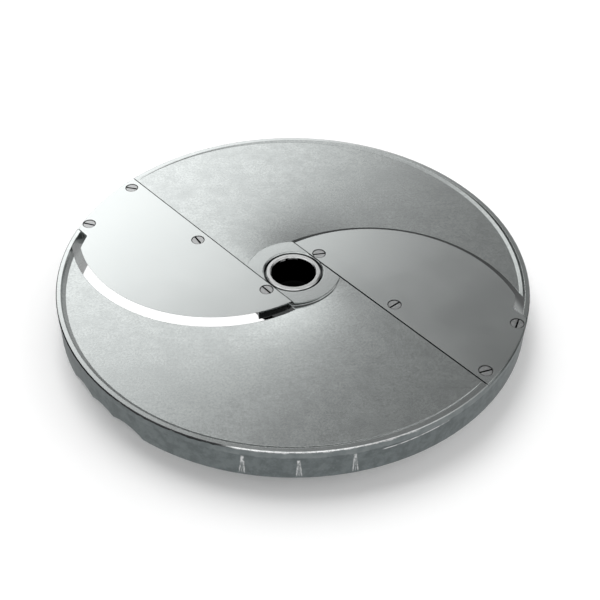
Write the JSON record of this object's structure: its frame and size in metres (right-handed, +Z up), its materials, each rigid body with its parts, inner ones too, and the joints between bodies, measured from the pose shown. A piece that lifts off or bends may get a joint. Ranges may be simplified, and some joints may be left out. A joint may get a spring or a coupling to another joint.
{
  "type": "food processor slicing disc",
  "caption": "Cast aluminium slicing disc with two curved steel blades, sloping decks, countersunk slotted blade screws and a steel hub bushing",
  "frame": {"origin": "on the bore's axis, at the plane that the disc rests on", "axes": "+Z up along the bore's axis; +X along the straight back edge of blade 1 from the hub to the rim; +Y from the axis to blade 1"},
  "size_m": [0.205, 0.205, 0.015],
  "materials": {
    "cast_aluminium": "satin",
    "bushing_steel": "polished",
    "blade_steel": "polished",
    "screw_steel": "satin"
  },
  "bodies": {
    "root": {"disc_body": "cast_aluminium", "hub_bushing": "bushing_steel", "blade_1": "blade_steel", "blade_2": "blade_steel", "blade_screw_1": "screw_steel", "blade_screw_2": "screw_steel", "blade_screw_3": "screw_steel", "blade_screw_4": "screw_steel", "blade_screw_5": "screw_steel", "blade_screw_6": "screw_steel", "blade_screw_7": "screw_steel", "blade_screw_8": "screw_steel"}
  },
  "joints": []
}
